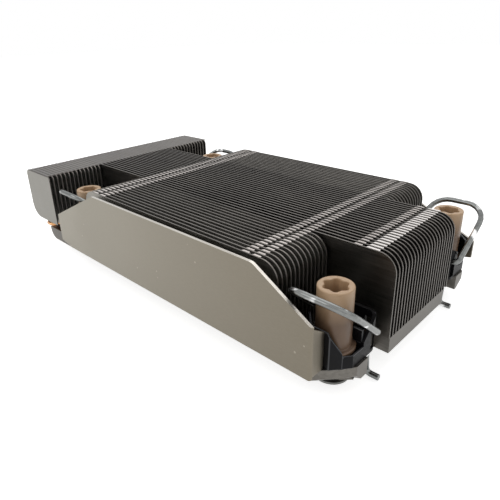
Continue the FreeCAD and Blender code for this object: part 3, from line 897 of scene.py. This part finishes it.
def makePlate(name, node, side, foldEnd):
    # side is -1 near and 1 far; foldEnd is 1 or -1, the end that has the return
    low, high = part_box(node)
    outer = low.y if side < 0 else high.y
    fold = high.x if foldEnd > 0 else low.x
    plate = copyOfNode(node, name)
    thick = plateCutSizes["thick"]
    inner = outer - side * thick
    for across, along, radius in (
        (fold, outer, plateCutSizes["foldRound"]),
        (fold - foldEnd * thick, inner, plateCutSizes["foldRound"] - thick),
    ):
        bevelEdges(plate, edgeAt(2, x=across, y=along), radius, plateCutSizes["foldSteps"])
    bevelEdges(
        plate, edgeAt(0, y=outer, z=low.z), plateCutSizes["footRound"], plateCutSizes["foldSteps"]
    )
    breakEdges(plate, plateCutSizes["edgeBreak"], segments=1, angle=50)
    smooth(plate, angle=28)
    plate.data.materials.append(plateSatin)
    plate.data.materials.append(plateCutHighlight)
    # the cut edges that face upwards are bright: partly the bare cut metal, partly a painted
    # highlight where light from above falls
    for face in plate.data.polygons:
        inWall = abs(face.center.y - (outer + inner) / 2) < 0.55 * thick
        upward = face.normal.z > 0.3 and face.center.z > low.z + 2 * thick
        if inWall and upward and abs(face.normal.y) < 0.8:
            face.material_index = 1
    finishPiece(plate, "plate_metal", "heatsink", node)


makePlate("sidePlateNear", "side_plate_near", -1, 1)
makePlate("sidePlateFar", "side_plate_far", 1, -1)
print("side plates made")


# Pieces that repeat at the four corners are modelled at the near front nut

def cornerAxis(corner):
    low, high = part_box(f"nut_{corner}")
    return Vector(((low.x + high.x) / 2, (low.y + high.y) / 2, 0))


firstAxis = cornerAxis("front_near")


def placeAtCorners(piece, name, slotName, node, bodyOf):
    # Names the first piece, then copies it to the other corners, turned half round on the far side
    made = [(corners[0], piece)]
    piece.name = piece.data.name = f"{name}_{corners[0]}"
    for corner in corners[1:]:
        turned = corner.endswith("far")
        move = cornerAxis(corner) - firstAxis
        made.append((corner, copyPiece(piece, f"{name}_{corner}", move, turned, firstAxis)))
    for corner, copy in made:
        smooth(copy, angle=35)
        finishPiece(copy, slotName, bodyOf(corner), f"{node}_{corner}")


# Nuts: turned up ring by ring, with a six-lobed socket

nutCut = {
    "sides": 96,
    "bore": 2.1 * mm,
    "boreTop": 15.3 * mm,
    "neck": 3.2 * mm,
    "flange": 5.05 * mm,
    "flangeLow": 11.5 * mm,
    "flangeTop": 12.6 * mm,
    "barrel": 4.05 * mm,
    "socketOuter": 2.95 * mm,
    "socketInner": 2.4 * mm,
    "socketDepth": 5.2 * mm,
    "lobes": 6,
    "edgeBreak": 0.3 * mm,
}


def turnRings(name, axis, rings, sides):
    # A ring of edges drawn out through each radius and height in turn
    deselectAll()
    radius, height = rings[0]
    bpy.ops.mesh.primitive_circle_add(
        vertices=sides, radius=radius, location=(axis.x, axis.y, height), fill_type="NOTHING"
    )
    settle()
    piece = bpy.context.object
    piece.name = name
    bpy.ops.object.mode_set(mode="EDIT")
    bpy.ops.mesh.select_all(action="SELECT")
    for nextRadius, nextHeight in rings[1:]:
        bpy.ops.mesh.extrude_region_move(
            TRANSFORM_OT_translate={"value": (0, 0, nextHeight - height)}
        )
        share = nextRadius / radius
        bpy.ops.transform.resize(
            value=(share, share, 1), center_override=(axis.x, axis.y, nextHeight)
        )
        radius, height = nextRadius, nextHeight
    return piece


def makeNuts():
    low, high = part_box("nut_front_near")
    axis = firstAxis
    mean = (nutCut["socketOuter"] + nutCut["socketInner"]) / 2
    rimMiddle = (nutCut["barrel"] + nutCut["socketOuter"]) / 2
    nut = turnRings("nut", axis, [
        (nutCut["bore"], nutCut["boreTop"]),
        (nutCut["bore"], low.z),
        (nutCut["neck"], low.z),
        (nutCut["neck"], nutCut["flangeLow"]),
        (nutCut["flange"], nutCut["flangeLow"]),
        (nutCut["flange"], nutCut["flangeTop"]),
        (nutCut["barrel"], nutCut["flangeTop"]),
        (nutCut["barrel"], high.z),
        (mean, high.z),
    ], nutCut["sides"])
    half = nutCut["sides"] // nutCut["lobes"] // 2

    def stepInLobe(vert):
        angle = math.atan2(vert.co.y - axis.y, vert.co.x - axis.x)
        step = round(angle / (2 * math.pi) * nutCut["sides"]) % (2 * half)
        return min(step, 2 * half - step)

    def onSocketRing(vert):
        flat = math.hypot(vert.co.x - axis.x, vert.co.y - axis.y)
        return near(vert.co.z, high.z) and flat < rimMiddle

    for step in range(half + 1):
        swell = (1 + math.cos(math.pi * step / half)) / 2
        reach = nutCut["socketInner"] + swell * (nutCut["socketOuter"] - nutCut["socketInner"])
        pick("verts", lambda vert: onSocketRing(vert) and stepInLobe(vert) == step)
        bpy.ops.transform.resize(
            value=(reach / mean, reach / mean, 1), center_override=(axis.x, axis.y, high.z)
        )
    pick("verts", onSocketRing)
    bpy.ops.mesh.select_mode(type="EDGE")
    bpy.ops.mesh.extrude_region_move(
        TRANSFORM_OT_translate={"value": (0, 0, -nutCut["socketDepth"])}
    )
    bpy.ops.mesh.edge_face_add()
    pick("edges", lambda edge: edge.is_boundary)
    bpy.ops.mesh.edge_face_add()
    turnOutwards()
    breakEdges(nut, nutCut["edgeBreak"], segments=3, angle=40)
    nut.data.materials.append(nutPlastic)
    placeAtCorners(nut, "nut", "nut_plastic", "nut", lambda corner: f"{corner}_nut")


makeNuts()
print("nuts made")


# Nut clips: open rings under the base

clipCut = {
    "inner": 3.25 * mm,
    "outer": 4.25 * mm,
    "sides": 72,
    "openAngle": 80,
    "edgeBreak": 0.1 * mm,
}


def makeClips():
    low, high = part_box("nut_clip_front_near")
    axis = firstAxis
    clip = turnRings("clip", axis, [
        (clipCut["inner"], low.z), (clipCut["outer"], low.z),
    ], clipCut["sides"])

    def inOpening(face):
        way = middleOf(face) - axis
        return abs(math.degrees(math.atan2(way.x, way.y))) < clipCut["openAngle"] / 2

    pick("faces", inOpening)
    bpy.ops.mesh.delete(type="FACE")
    bpy.ops.mesh.select_all(action="SELECT")
    bpy.ops.mesh.extrude_region_move(TRANSFORM_OT_translate={"value": (0, 0, high.z - low.z)})
    turnOutwards()
    breakEdges(clip, clipCut["edgeBreak"], angle=50)
    clip.data.materials.append(clipSteel)
    placeAtCorners(clip, "nutClip", "wire_steel", "nut_clip", lambda corner: f"{corner}_nut")


makeClips()
print("nut clips made")


# Wire holders: a floor and cup round the nut's foot, and a rounded back wall that carries the wire;
# places in mm, across and inwards from the nut's axis and up from the contact face

holderCut = {
    "floorTop": 11.48,
    "floorBack": 3.95,
    "half": 6.0,
    "wall": 0.8,
    "wallFront": 3.0,
    "wallBack": 9.0,
    "backRound": 2.2,
    "roundSteps": 8,
    "shoulderLow": (3.0, 13.2),
    "shoulderHigh": (5.5, 18.2),
    "windowAcross": (2.9, 5.3),
    "windowInwards": (6.3, 9.6),
    "windowTop": 16.4,
    "slotAcross": (5.0, 6.6),
    "slotInwards": (6.05, 7.95),
    "slotUp": (9.6, 15.25),
    "cupWall": 0.5,
    # across, inwards and top of the cup's wall, from the tall side to the lip
    "cupRoute": (
        (-5.97, -1.17, 18.2), (-2.56, -5.3, 18.2), (1.9, -5.3, 18.2), (2.56, -5.3, 17.2),
        (4.42, -3.05, 12.9), (4.52, -2.93, 12.1), (5.97, -1.17, 12.1), (6.0, 3.1, 12.1),
    ),
    "wingAcross": (3.0, 5.4),
    "wingInwards": (3.0, 3.8),
    "wingUp": (12.75, 16.0),
    "wingFootAcross": (3.85, 5.4),
    "wingSink": 0.1,
    "edgeBreak": 0.18 * mm,
}


def holderPlace(across, inwards, up):
    return Vector((firstAxis.x + across * mm, firstAxis.y + inwards * mm, up * mm))


def wallAlong(name, route, low, thick):
    # A wall of the given thickness, drawn up from a line to the height at each of its points
    feet = [holderPlace(across, inwards, low / mm) for across, inwards, top in route]
    wall = newLine(name, feet)
    editPiece(wall, "EDGE")
    bpy.ops.mesh.select_all(action="SELECT")
    bpy.ops.mesh.extrude_region_move(TRANSFORM_OT_translate={"value": (0, 0, 1 * mm)})
    for foot, (across, inwards, top) in zip(feet, route):
        raised = foot + Vector((0, 0, 1 * mm))
        pick("verts", lambda vert: all(near(value, spot) for value, spot in zip(vert.co, raised)))
        bpy.ops.transform.translate(value=(0, 0, top * mm - raised.z))
    leaveEdit()
    takeUp(wall)
    skin = wall.modifiers.new("skin", "SOLIDIFY")
    skin.thickness = thick * mm
    skin.offset = 1
    skin.use_even_offset = True
    bpy.ops.object.modifier_apply(modifier=skin.name)
    editPiece(wall)
    turnOutwards()
    return wall


def holderBlock(across, inwards, up):
    low, high = (holderPlace(*spot) for spot in zip(across, inwards, up))
    return startBlock("holderBlock", low, high)


def cutAway(piece, cutters):
    cutter = joinPieces("cutter", cutters)
    takeUp(piece)
    cut = piece.modifiers.new("cut", "BOOLEAN")
    cut.operation = "DIFFERENCE"
    cut.solver = "EXACT"
    cut.object = cutter
    bpy.ops.object.modifier_apply(modifier=cut.name)
    bpy.data.objects.remove(cutter)


def cutOff(piece, place, way):
    # Takes off all that lies beyond a plane and closes the cut
    editPiece(piece)
    bpy.ops.mesh.select_all(action="SELECT")
    bpy.ops.mesh.bisect(
        plane_co=place, plane_no=way, use_fill=True, clear_outer=True, threshold=0.001 * mm
    )
    leaveEdit()


def makeHolders():
    low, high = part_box("wire_holder_front_near")
    floor = copyOfNode("wire_holder_front_near", "holder")
    cutOff(floor, holderPlace(0, 0, holderCut["floorTop"]), (0, 0, 1))
    cutOff(floor, holderPlace(0, holderCut["floorBack"], 0), (0, 1, 0))

    half, back, turn = holderCut["half"], holderCut["wallBack"], holderCut["backRound"]
    right = [(half, holderCut["wallFront"])]
    for step in range(holderCut["roundSteps"] + 1):
        angle = math.pi / 2 * step / holderCut["roundSteps"]
        right.append((half - turn + turn * math.cos(angle), back - turn + turn * math.sin(angle)))
    route = right + [(-across, inwards) for across, inwards in reversed(right)]
    wall = wallAlong("backWall", [(*spot, high.z / mm) for spot in route], low.z, holderCut["wall"])
    (lowIn, lowUp), (highIn, highUp) = holderCut["shoulderLow"], holderCut["shoulderHigh"]
    cutOff(wall, holderPlace(0, lowIn, lowUp), (0, -(highUp - lowUp), highIn - lowIn))
    windowUp = (low.z / mm - 1, holderCut["windowTop"])
    for across, inwards, up in (
        (holderCut["windowAcross"], holderCut["windowInwards"], windowUp),
        (holderCut["slotAcross"], holderCut["slotInwards"], holderCut["slotUp"]),
    ):
        cutAway(wall, [
            holderBlock(sorted(side * edge for edge in across), inwards, up) for side in (-1, 1)
        ])

    cup = wallAlong("cup", holderCut["cupRoute"], low.z, holderCut["cupWall"])
    wingLow, wingHigh = holderCut["wingUp"]
    wingFootUp = (holderCut["floorTop"] - holderCut["wingSink"], wingLow + holderCut["wingSink"])
    wings = [
        holderBlock(sorted(side * edge for edge in across), holderCut["wingInwards"], up)
        for side in (-1, 1)
        for across, up in (
            (holderCut["wingAcross"], (wingLow, wingHigh)),
            (holderCut["wingFootAcross"], wingFootUp),
        )
    ]
    for piece in (floor, wall, cup, *wings):
        breakEdges(piece, holderCut["edgeBreak"], angle=40)
    holder = joinPieces("holder", [floor, wall, cup] + wings)
    holder.data.materials.append(holderPlastic)
    paintNarrow(holder, holderEdgeHighlight, holderCut["edgeBreak"])
    placeAtCorners(holder, "wireHolder", "holder_plastic", "wire_holder", lambda corner: "heatsink")


makeHolders()
print("wire holders made")


# Shared by the wires and the heat pipes: a bent line, and the closed rod that is drawn along it

def bentCurve(name, points, radii, steps):
    # A curve along straight runs whose corners are bent to the given radii
    line = newLine(name, points)
    for before, corner, after, radius in zip(points, points[1:], points[2:], radii):
        corner = Vector(corner)
        turn = (corner - Vector(before)).angle(Vector(after) - corner)
        editPiece(line, "VERT")
        pick("verts", lambda vert: (vert.co - corner).length < 0.001 * mm)
        bpy.ops.mesh.bevel(
            offset=radius * math.tan(turn / 2), segments=steps,
            affect="VERTICES", clamp_overlap=False,
        )
        leaveEdit()
    takeUp(line)
    bpy.ops.object.convert(target="CURVE")
    return bpy.context.object


def closedRod(curve):
    curve.data.use_fill_caps = True
    takeUp(curve)
    bpy.ops.object.convert(target="MESH")
    rod = bpy.context.object
    editPiece(rod)
    bpy.ops.mesh.select_all(action="SELECT")
    bpy.ops.mesh.remove_doubles(threshold=0.001 * mm)
    turnOutwards()
    return rod


# Wires: a bent rod from hook to hook; places in mm, across and inwards from the nut's axis and up
# from the contact face

wireCut = {
    "thick": 1.55 * mm,
    "endRound": 0.3 * mm,
    "roundSteps": 6,
    "sideSteps": 5,
    "hook": (7.5, 8.6, 1.06),
    "armFoot": (4.1, 8.6, 1.06),
    "armTop": (4.1, 7.0, 14.3),
    "pivot": (7.1, 7.0, 14.3),
    "crest": (8.0, -8.0, 26.9),
    "bend": 1.3 * mm,
    "crestBend": 5.5 * mm,
}


def makeWires():
    half = [wireCut[spot] for spot in ("hook", "armFoot", "armTop", "pivot", "crest")]
    route = half + [(-across, inwards, up) for across, inwards, up in reversed(half)]
    points = [
        (firstAxis.x + across * mm, firstAxis.y + inwards * mm, up * mm)
        for across, inwards, up in route
    ]
    bends = [wireCut["bend"]] * 3 + [wireCut["crestBend"]]
    wire = bentCurve("wire", points, bends + bends[::-1], wireCut["roundSteps"])
    wire.data.bevel_depth = wireCut["thick"] / 2
    wire.data.bevel_resolution = wireCut["sideSteps"]
    wire = closedRod(wire)
    breakEdges(wire, wireCut["endRound"], segments=3, angle=60)
    wire.data.materials.append(wireSteel)
    placeAtCorners(wire, "wire", "wire_steel", "wire", lambda corner: f"{corner}_wire")


makeWires()
print("wires made")


# Heat pipes: flattened, and drawn in to a rounded end

pipeCut = {
    "width": 9.5 * mm,
    "thick": 3.1 * mm,
    "riseBend": 12 * mm,
    "turnBend": 8.4 * mm,
    "riseStart": -53 * mm,
    "riseStop": -59 * mm,
    "turnX": -71.6 * mm,
    "noseLengths": (5.0 * mm, 3.4 * mm, 1.8 * mm, 0.6 * mm),
    "noseShares": (1.0, 0.8, 0.58, 0.44, 0.28),
    "bendSteps": 10,
    "sideSteps": 10,
    "endRound": 0.5 * mm,
}


def pipeSection():
    # The flattened outline of the pipe: two half circles joined by straight sides
    stretch = (pipeCut["width"] - pipeCut["thick"]) / 2
    radius = pipeCut["thick"] / 2
    ring = []
    for edge in (1, -1):
        for step in range(pipeCut["sideSteps"] + 1):
            angle = math.pi * (step / pipeCut["sideSteps"] - 0.5)
            across = stretch + radius * math.cos(angle)
            ring.append((edge * across, edge * radius * math.sin(angle)))
    section = newPiece("section", bpy.data.curves.new("section", "CURVE"))
    spline = section.data.splines.new("POLY")
    spline.points.add(len(ring) - 1)
    for point, (across, up) in zip(spline.points, ring):
        point.co = (across, up, 0, 1)
    spline.use_cyclic_u = True
    return section


def makePipe(name, node, side):
    low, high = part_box(node)
    middle = (low.y if side > 0 else high.y) + side * pipeCut["width"] / 2
    lower = low.z + pipeCut["thick"] / 2
    upper = high.z - pipeCut["thick"] / 2
    end = high.y if side > 0 else low.y
    points = [
        (high.x, middle, lower),
        (pipeCut["riseStart"], middle, lower),
        (pipeCut["riseStop"], middle, upper),
        (pipeCut["turnX"], middle, upper),
    ]
    points += [(pipeCut["turnX"], end - side * back, upper) for back in pipeCut["noseLengths"]]
    points.append((pipeCut["turnX"], end, upper))
    bends = [pipeCut["riseBend"], pipeCut["riseBend"], pipeCut["turnBend"]]
    pipe = bentCurve(name, points, bends, pipeCut["bendSteps"])
    pipe.data.twist_mode = "Z_UP"
    pipe.data.bevel_mode = "OBJECT"
    section = pipeSection()
    pipe.data.bevel_object = section
    nose = sorted(pipe.data.splines[0].points, key=lambda point: abs(point.co.y - end))
    for point, share in zip(nose, reversed(pipeCut["noseShares"])):
        point.radius = share
    pipe = closedRod(pipe)
    bpy.data.objects.remove(section)
    breakEdges(pipe, pipeCut["endRound"], segments=3, angle=60)
    smooth(pipe, angle=40)
    pipe.data.materials.append(pipeSkin)
    finishPiece(pipe, "copper", "heatsink", node)


makePipe("heatPipeNear", "heat_pipe_near", -1)
makePipe("heatPipeFar", "heat_pipe_far", 1)
print("heat pipes made")
